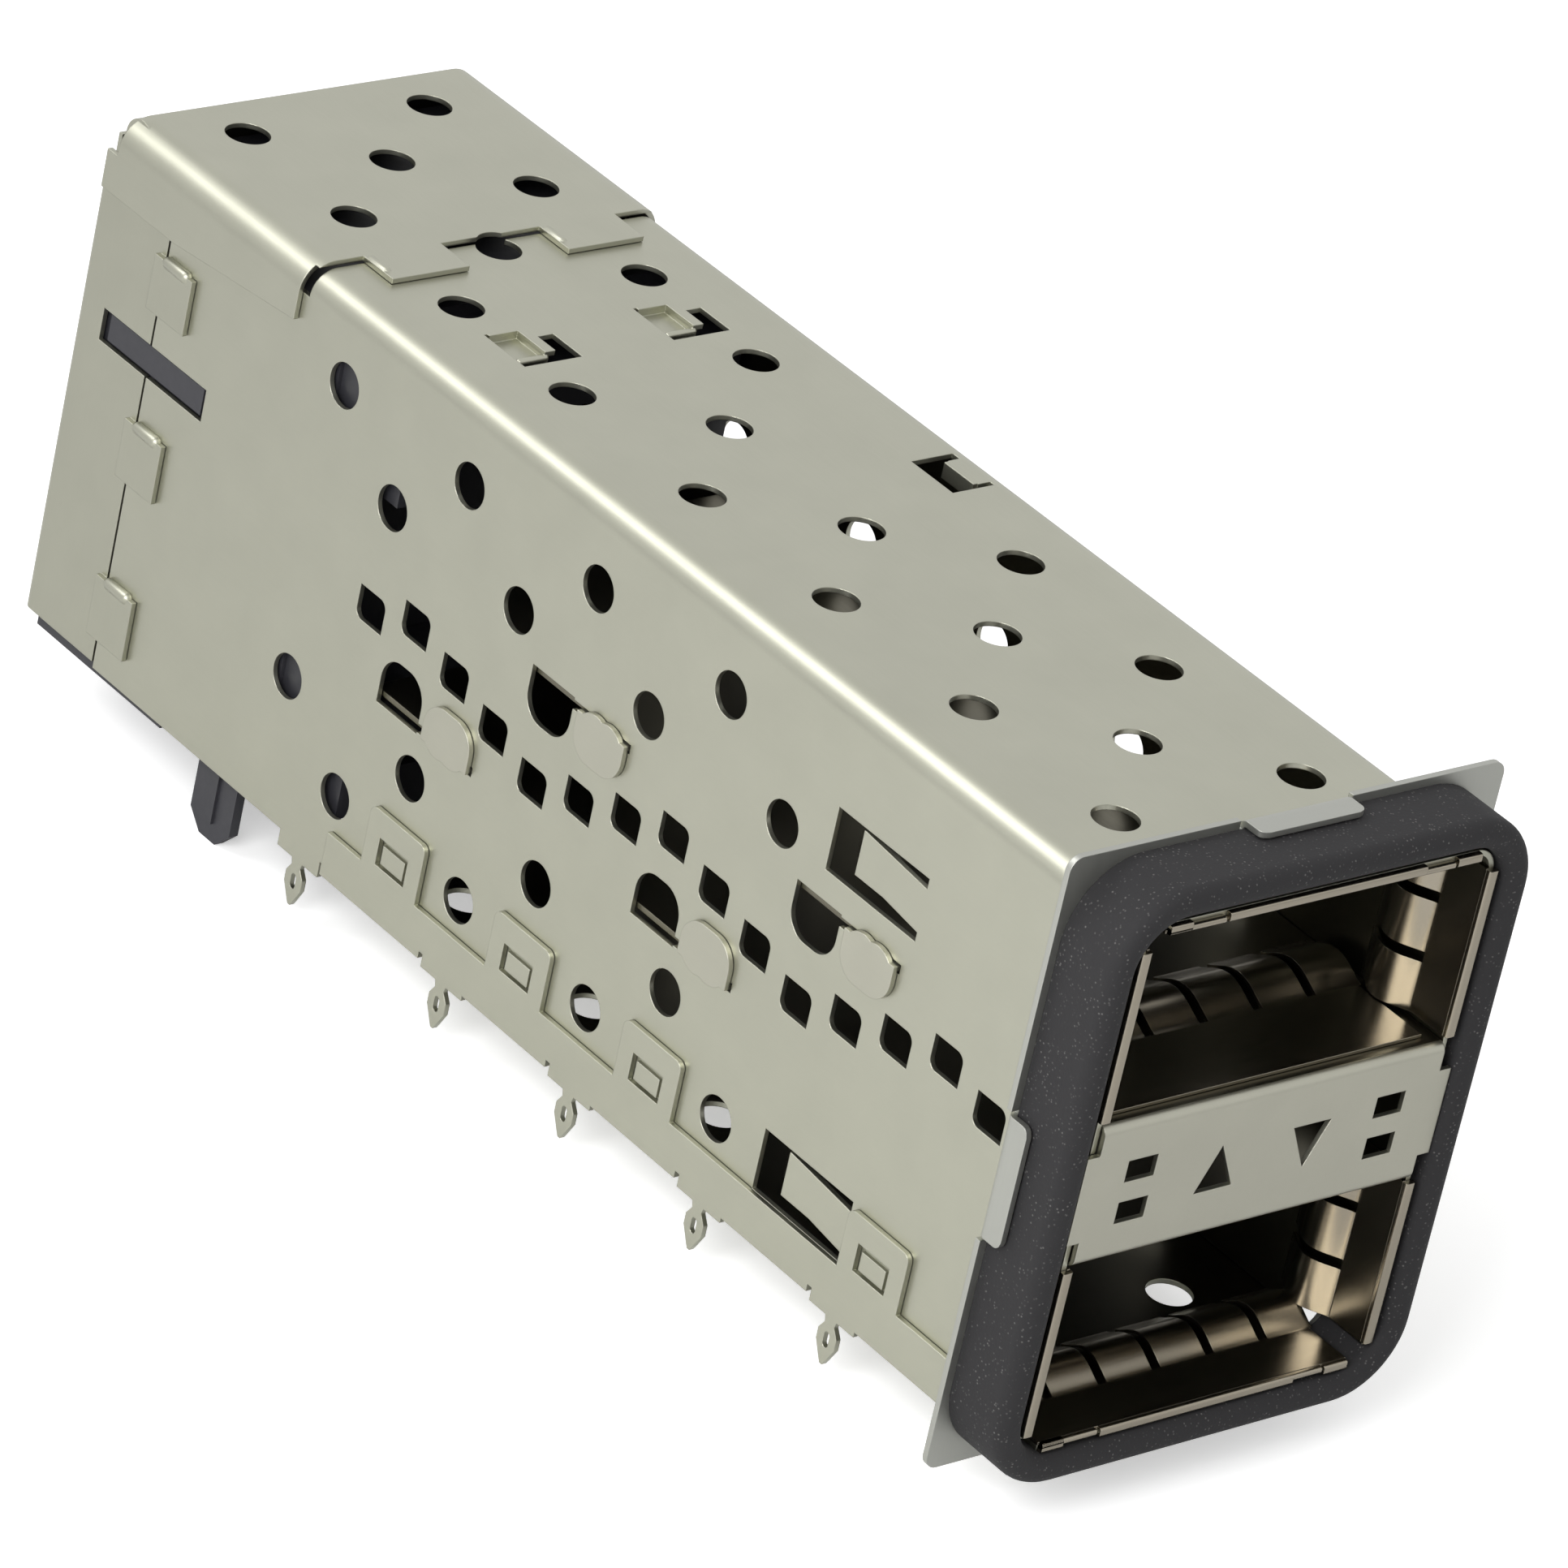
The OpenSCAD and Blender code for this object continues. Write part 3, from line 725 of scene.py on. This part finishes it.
def rounded(
    x0: float, x1: float, z0: float, z1: float, radius: float
) -> list[tuple[float, float]]:
    """Give a rectangle with round corners, in four equal parts of nine points.

    Args:
        x0: left side.
        x1: right side.
        z0: lower side.
        z1: upper side.
        radius: corner radius.

    Returns:
        Points from the upper right corner round to the lower right one.
    """
    points = []
    for i, (x, z) in enumerate(((x1, z1), (x0, z1), (x0, z0), (x1, z0))):
        cx = x - radius if x == x1 else x + radius
        cz = z - radius if z == z1 else z + radius
        for k in range(CORNER_STEPS + 1):
            a = math.radians(90 * i + 90 * k / CORNER_STEPS)
            points.append((cx + radius * math.cos(a), cz + radius * math.sin(a)))
    return points


def shade(work: bmesh.types.BMesh, angle_deg: float) -> None:
    """Shade faces smooth and keep sharp edges sharp.

    Args:
        work: the mesh to change.
        angle_deg: edges sharper than this stay sharp.
    """
    limit = math.radians(angle_deg)
    for face in work.faces:
        face.smooth = True
        face.material_index = OUTER
    for edge in work.edges:
        edge.smooth = len(edge.link_faces) == 2 and edge.calc_face_angle(0.0) < limit


# ---------------------------------------------------------------- finger strips
class Wall(Enum):
    """Which inner side of a port a finger strip lines."""

    FLOOR = "floor"
    CEILING = "ceiling"
    LEFT = "left"
    RIGHT = "right"


@dataclass(frozen=True)
class StripPlan:
    """Sizes and place of one finger strip, in millimetres."""

    node: str
    wall: Wall
    level: float
    middle: float
    count: int
    pitch: float
    end_width: float
    flat_from: float
    bow_from: float
    tip: float
    lips: tuple[tuple[float, float, float], ...] = ()


@dataclass
class FingerStrips:
    """Spring finger strips: thin plated strip, slit into fingers that bow into the port."""

    sheet: float = 0.15
    seat: float = 0.03
    bow: float = 0.7
    slot: float = 0.5
    lip_front: float = -3.0
    lip_back: float = -2.72
    # The strip colour is partly its own plating, partly made darker as painted shade of the ports'
    # inside.
    finish: PlatedSheet = PlatedSheet("Plated_spring_strip", "#999284", 0.24, Grain.ACROSS, 0.04)
    plans: list[StripPlan] = field(default_factory=list)

    def __post_init__(self) -> None:
        """Lay out the eight strips of the two ports."""
        mouth = (
            (-5.3, 5.4, -0.25),
            (-8.45, -5.5, -0.1),
            (-8.45, -7.3, -0.25),
            (5.4, 7.0, -0.1),
            (7.15, 8.45, -0.25),
        )
        side = ((-4.0, 4.0, -0.35),)
        wide, tall, half = 2.98, 2.87, 9.35
        add = self.plans.append
        for node, wall, level in (
            ("upper_top_fingers", Wall.CEILING, 25.4),
            ("lower_bottom_fingers", Wall.FLOOR, 0.6),
        ):
            add(StripPlan(node, wall, level, 0, 6, wide, 2.15, -2.74, -0.3, 2.7, mouth))
        for node, wall, level in (
            ("upper_bottom_fingers", Wall.FLOOR, 16.3),
            ("lower_top_fingers", Wall.CEILING, 9.6),
        ):
            add(StripPlan(node, wall, level, 0, 6, wide, 2.15, -2.2, 1.9, 5.45))
        for port, middle in (("upper", 20.6), ("lower", 5.41)):
            for wall in (Wall.LEFT, Wall.RIGHT):
                node = f"{port}_{wall.value}_fingers"
                add(StripPlan(node, wall, half, middle, 3, tall, 2.31, -2.74, -0.65, 2.4, side))

    def tree(self, material: bpy.types.Material) -> bpy.types.NodeTree:
        """Build the Geometry Nodes tree that bows and repeats one finger.

        Args:
            material: the strip's finish.

        Returns:
            The tree, with named inputs for its sizes.
        """
        tree = bpy.data.node_groups.new("Finger_row", "GeometryNodeTree")
        face = tree.interface
        face.new_socket("Geometry", in_out="OUTPUT", socket_type="NodeSocketGeometry")
        for name, kind in (
            ("Finger Count", "NodeSocketInt"),
            ("Pitch", "NodeSocketFloat"),
            ("Finger Width", "NodeSocketFloat"),
            ("Finger Length", "NodeSocketFloat"),
            ("Finger Start", "NodeSocketFloat"),
            ("Bow Height", "NodeSocketFloat"),
            ("Strip Length", "NodeSocketFloat"),
            ("Strip Width", "NodeSocketFloat"),
            ("Strip Start", "NodeSocketFloat"),
        ):
            face.new_socket(name, in_out="INPUT", socket_type=kind)
        inputs = add_node(tree, "NodeGroupInput").outputs
        grid = add_node(
            tree,
            "GeometryNodeMeshGrid",
            None,
            {
                "Size X": inputs["Finger Width"],
                "Size Y": inputs["Finger Length"],
                "Vertices X": 5,
                "Vertices Y": 25,
            },
        )
        position = add_node(tree, "GeometryNodeInputPosition")
        spot = add_node(
            tree, "ShaderNodeSeparateXYZ", None, {0: position.outputs[0]}
        )
        share = add_node(
            tree,
            "ShaderNodeMath",
            {"operation": "DIVIDE"},
            {0: spot.outputs["Y"], 1: inputs["Finger Length"]},
        )
        turn = add_node(
            tree,
            "ShaderNodeMath",
            {"operation": "MULTIPLY"},
            {0: share.outputs[0], 1: math.pi},
        )
        wave = add_node(tree, "ShaderNodeMath", {"operation": "COSINE"}, {0: turn.outputs[0]})
        whole = add_node(
            tree, "ShaderNodeMath", {"operation": "MAXIMUM"}, {0: wave.outputs[0], 1: 0.0}
        )
        swell = add_node(
            tree, "ShaderNodeMath", {"operation": "POWER"}, {0: whole.outputs[0], 1: 1.3}
        )
        rise = add_node(
            tree,
            "ShaderNodeMath",
            {"operation": "MULTIPLY"},
            {0: swell.outputs[0], 1: inputs["Bow Height"]},
        )
        lift = add_node(tree, "ShaderNodeCombineXYZ", None, {"Z": rise.outputs[0]})
        bowed = add_node(
            tree,
            "GeometryNodeSetPosition",
            None,
            {"Geometry": grid.outputs["Mesh"], "Offset": lift.outputs[0]},
        )
        step = add_node(tree, "ShaderNodeCombineXYZ", None, {"X": inputs["Pitch"]})
        gaps = add_node(
            tree,
            "ShaderNodeMath",
            {"operation": "SUBTRACT"},
            {0: inputs["Finger Count"], 1: 1.0},
        )
        run = add_node(
            tree,
            "ShaderNodeMath",
            {"operation": "MULTIPLY"},
            {0: gaps.outputs[0], 1: inputs["Pitch"]},
        )
        half = add_node(
            tree, "ShaderNodeMath", {"operation": "MULTIPLY"}, {0: run.outputs[0], 1: -0.5}
        )
        middle = add_node(
            tree,
            "ShaderNodeMath",
            {"operation": "MULTIPLY_ADD"},
            {0: inputs["Finger Length"], 1: 0.5, 2: inputs["Finger Start"]},
        )
        start = add_node(
            tree, "ShaderNodeCombineXYZ", None, {"X": half.outputs[0], "Y": middle.outputs[0]}
        )
        row = add_node(
            tree,
            "GeometryNodeMeshLine",
            {"mode": "OFFSET"},
            {
                "Count": inputs["Finger Count"],
                "Start Location": start.outputs[0],
                "Offset": step.outputs[0],
            },
        )
        many = add_node(
            tree,
            "GeometryNodeInstanceOnPoints",
            None,
            {"Points": row.outputs["Mesh"], "Instance": bowed.outputs["Geometry"]},
        )
        back = add_node(
            tree,
            "GeometryNodeMeshGrid",
            None,
            {
                "Size X": inputs["Strip Width"],
                "Size Y": inputs["Strip Length"],
                "Vertices X": 2,
                "Vertices Y": 2,
            },
        )
        centre = add_node(
            tree,
            "ShaderNodeMath",
            {"operation": "MULTIPLY_ADD"},
            {0: inputs["Strip Length"], 1: 0.5, 2: inputs["Strip Start"]},
        )
        shift = add_node(tree, "ShaderNodeCombineXYZ", None, {"Y": centre.outputs[0]})
        seated = add_node(
            tree,
            "GeometryNodeTransform",
            None,
            {"Geometry": back.outputs["Mesh"], "Translation": shift.outputs[0]},
        )
        joined = add_node(tree, "GeometryNodeJoinGeometry")
        tree.links.new(many.outputs["Instances"], joined.inputs[0])
        tree.links.new(seated.outputs["Geometry"], joined.inputs[0])
        real = add_node(
            tree, "GeometryNodeRealizeInstances", None, {"Geometry": joined.outputs[0]}
        )
        dressed = add_node(
            tree,
            "GeometryNodeSetMaterial",
            None,
            {"Geometry": real.outputs[0], "Material": material},
        )
        add_node(tree, "NodeGroupOutput", None, {0: dressed.outputs[0]})
        return tree

    def place(self, plan: StripPlan) -> Matrix:
        """Give the transform from a flat strip to its wall.

        Args:
            plan: the strip's plan.

        Returns:
            A matrix in metres; it may mirror, which the caller corrects.
        """
        level, middle = plan.level * MM, plan.middle * MM
        if plan.wall is Wall.FLOOR:
            return Matrix.Translation((0, 0, level))
        if plan.wall is Wall.CEILING:
            return Matrix.Translation((0, 0, level)) @ Matrix.Scale(-1, 4, (0, 0, 1))
        side = Matrix.Translation((-level, 0, middle)) @ Matrix.Rotation(math.pi / 2, 4, "Y")
        return side if plan.wall is Wall.LEFT else Matrix.Scale(-1, 4, (1, 0, 0)) @ side

    def lip(self, work: bmesh.types.BMesh, x0: float, x1: float, low: float) -> None:
        """Add one folded front lip with a rounded nose, in millimetres.

        Args:
            work: the mesh to add to.
            x0: one end across the strip.
            x1: the other end.
            low: how far the lip reaches over the sheet behind it.
        """
        high = self.seat + self.sheet
        nose = min(0.11, (high - low) * 0.45)
        ring = [(self.lip_back, high), (self.lip_back, low)]
        for corner, start in (((low + nose), 270), ((high - nose), 180)):
            for i in range(5):
                a = math.radians(start - 22.5 * i)
                ring.append((self.lip_front + nose + nose * math.cos(a), corner + nose * math.sin(a)))
        ends = [
            [work.verts.new((x * MM, y * MM, z * MM)) for y, z in ring] for x in (x0, x1)
        ]
        count = len(ring)
        for i in range(count):
            j = (i + 1) % count
            work.faces.new((ends[0][i], ends[0][j], ends[1][j], ends[1][i]))
        work.faces.new(ends[0])
        work.faces.new(list(reversed(ends[1])))

    def build(self) -> list[bpy.types.Object]:
        """Make every strip as a plain mesh and seat it in its port.

        Returns:
            The new pieces.
        """
        material = self.finish.make()
        tree = self.tree(material)
        sockets = {
            s.name: s.identifier for s in tree.interface.items_tree if s.in_out == "INPUT"
        }
        made = []
        for plan in self.plans:
            holder = bpy.data.objects.new("strip_blank", bpy.data.meshes.new("strip_blank"))
            bpy.context.scene.collection.objects.link(holder)
            rows = holder.modifiers.new("Fingers", "NODES")
            rows.node_group = tree
            width = (plan.count - 1) * plan.pitch + plan.end_width
            sizes = {
                "Finger Count": plan.count,
                "Pitch": plan.pitch * MM,
                "Finger Width": (plan.pitch - self.slot) * MM,
                "Finger Length": (plan.tip - plan.bow_from) * MM,
                "Finger Start": plan.bow_from * MM,
                "Bow Height": self.bow * MM,
                "Strip Length": (plan.bow_from - plan.flat_from) * MM,
                "Strip Width": width * MM,
                "Strip Start": plan.flat_from * MM,
            }
            for name, value in sizes.items():
                rows[sockets[name]] = value
            wall = holder.modifiers.new("Sheet", "SOLIDIFY")
            wall.thickness = self.sheet * MM
            wall.offset = 1.0
            graph = bpy.context.evaluated_depsgraph_get()
            mesh = bpy.data.meshes.new_from_object(holder.evaluated_get(graph))
            mesh.name = plan.node + "_strip"
            bpy.data.objects.remove(holder)
            work = bmesh.new()
            work.from_mesh(mesh)
            bmesh.ops.translate(work, verts=work.verts, vec=(0, 0, self.seat * MM))
            for x0, x1, low in plan.lips:
                self.lip(work, x0, x1, low)
            work.transform(self.place(plan))
            bmesh.ops.recalc_face_normals(work, faces=work.faces)
            shade(work, STRIP_DEG)
            work.to_mesh(mesh)
            work.free()
            mesh.materials.clear()
            mesh.materials.append(material)
            made.append(new_piece(plan.node + "_strip", mesh, "spring_steel", plan.node))
        return made


# ---------------------------------------------------------------- other pieces
@dataclass
class MouldedPieces:
    """Gasket, connector body and contacts: CAD solids that get their real finishes."""

    frame: dict
    foam: ConductiveFoam = ConductiveFoam()
    polymer: MouldedPolymer = MouldedPolymer()
    gold: GoldFlash = GoldFlash()

    def build(self) -> list[bpy.types.Object]:
        """Smooth the gasket, and dress the solids that keep their CAD form.

        Returns:
            The pieces dressed.
        """
        mesh = self.frame["nodes"]["gasket"].data.copy()
        mesh.name = "gasket_ring"
        smooth_folds(mesh, FOAM_DEG)
        mesh.materials.clear()
        mesh.materials.append(self.foam.make())
        ring = new_piece("gasket_ring", mesh, "gasket_foam", "gasket")
        made = [ring]
        plastic, plated = self.polymer.make(), self.gold.make()
        for name, node in self.frame["nodes"].items():
            if name.startswith("connector_"):
                finish = plastic
            elif "_row_" in name:
                finish = plated
            else:
                continue
            for place in node.material_slots:
                place.material = finish
            made.append(node)
        return made


# ---------------------------------------------------------------- studio
@dataclass
class Studio:
    """Camera, pale floor, soft lamps and a plain white surround."""

    lens_mm: float = 222.68
    sensor_mm: float = 36.0
    position_mm: tuple[float, float, float] = (-254.77, -232.20, 210.89)
    azimuth_deg: float = -44.291
    elevation_deg: float = 28.544
    roll_deg: float = 12.743
    floor_z_mm: float = -3.46
    world_level: float = 0.5
    floor_glow: float = 0.45
    lamp_aim: tuple[float, float, float] = (0.0, 0.03, 0.01)

    def camera(self) -> None:
        """Set the camera at its fitted place, angle and roll."""
        data = bpy.data.cameras.new("Camera")
        data.lens = self.lens_mm
        data.sensor_width = self.sensor_mm
        data.clip_start, data.clip_end = 0.01, 20.0
        camera = bpy.data.objects.new("Camera", data)
        bpy.context.scene.collection.objects.link(camera)
        azimuth, elevation = math.radians(self.azimuth_deg), math.radians(self.elevation_deg)
        roll = math.radians(self.roll_deg)
        ahead = Vector(
            (
                -math.sin(azimuth) * math.cos(elevation),
                math.cos(azimuth) * math.cos(elevation),
                -math.sin(elevation),
            )
        )
        right = ahead.cross(Vector((0, 0, 1))).normalized()
        up = right.cross(ahead)
        x_axis = math.cos(roll) * right + math.sin(roll) * up
        y_axis = -math.sin(roll) * right + math.cos(roll) * up
        turn = Matrix((x_axis, y_axis, -ahead)).transposed().to_4x4()
        camera.matrix_world = Matrix.Translation([v * MM for v in self.position_mm]) @ turn
        bpy.context.scene.camera = camera

    def floor(self) -> None:
        """Lay a pale floor that keeps the soft shadow and looks white."""
        mesh = bpy.data.meshes.new("floor")
        work = bmesh.new()
        bmesh.ops.create_grid(work, x_segments=1, y_segments=1, size=6.0)
        work.to_mesh(mesh)
        work.free()
        plane = bpy.data.objects.new("floor", mesh)
        plane.location.z = self.floor_z_mm * MM
        bpy.context.scene.collection.objects.link(plane)
        material = bpy.data.materials.new("Matt_white_sweep")
        material.use_nodes = True
        tree = material.node_tree
        shader = tree.nodes["Principled BSDF"]
        shader.inputs["Base Color"].default_value = linear("#F4F4F4")
        shader.inputs["Roughness"].default_value = 0.9
        shader.inputs["Emission Color"].default_value = (1, 1, 1, 1)
        rays = add_node(tree, "ShaderNodeLightPath")
        level = add_node(
            tree,
            "ShaderNodeMath",
            {"operation": "MULTIPLY"},
            {0: rays.outputs["Is Camera Ray"], 1: self.floor_glow},
        )
        tree.links.new(level.outputs[0], shader.inputs["Emission Strength"])
        mesh.materials.append(material)

    def lamp(
        self, name: str, place: tuple[float, float, float], size: float, power: float
    ) -> None:
        """Hang one square soft lamp that points at the cage.

        Args:
            name: the lamp's name.
            place: its position in metres.
            size: its side in metres.
            power: its power in watts.
        """
        data = bpy.data.lights.new(name, "AREA")
        data.shape = "SQUARE"
        data.size = size
        data.energy = power
        lamp = bpy.data.objects.new(name, data)
        lamp.location = place
        lamp.visible_camera = False
        aim = Vector(self.lamp_aim) - Vector(place)
        lamp.rotation_euler = aim.to_track_quat("-Z", "Y").to_euler()
        bpy.context.scene.collection.objects.link(lamp)

    def world(self) -> None:
        """Light evenly from all round, and show white to the camera and in gloss."""
        world = bpy.data.worlds.new("Studio")
        bpy.context.scene.world = world
        world.use_nodes = True
        tree = world.node_tree
        tree.nodes.clear()
        rays = add_node(tree, "ShaderNodeLightPath")
        seen = add_node(
            tree,
            "ShaderNodeMath",
            {"operation": "MAXIMUM"},
            {0: rays.outputs["Is Camera Ray"], 1: rays.outputs["Is Glossy Ray"]},
        )
        shown = add_node(
            tree,
            "ShaderNodeMath",
            {"operation": "MAXIMUM"},
            {0: seen.outputs[0], 1: rays.outputs["Is Transmission Ray"]},
        )
        plain = add_node(
            tree, "ShaderNodeBackground", None, {"Color": (1, 1, 1, 1), "Strength": self.world_level}
        )
        white = add_node(tree, "ShaderNodeBackground", None, {"Color": (1, 1, 1, 1), "Strength": 1.0})
        mixed = add_node(
            tree,
            "ShaderNodeMixShader",
            None,
            {0: shown.outputs[0], 1: plain.outputs[0], 2: white.outputs[0]},
        )
        add_node(tree, "ShaderNodeOutputWorld", None, {"Surface": mixed.outputs[0]})

    def build(self) -> None:
        """Set up the whole studio."""
        self.camera()
        self.floor()
        self.lamp("Key", (-0.45, 0.55, 0.75), 0.5, 3.0)
        self.lamp("Fill", (-0.6, -0.7, 0.9), 0.8, 1.0)
        self.lamp("Near", (-0.16, -0.04, 0.12), 0.12, 0.32)
        self.world()
        settings = bpy.context.scene.view_settings
        settings.view_transform = "Standard"


def main() -> None:
    """Load the frame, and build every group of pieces."""
    logging.basicConfig(level=logging.INFO, format="%(message)s")
    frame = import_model()
    groups = (SheetMetal(frame), RetentionPlate(), FingerStrips(), MouldedPieces(frame))
    for group in groups:
        for piece in group.build():
            LOG.info("%s: %s, %d faces", type(group).__name__, piece.name, len(piece.data.polygons))
    Studio().build()


if __name__ == "__main__":
    main()
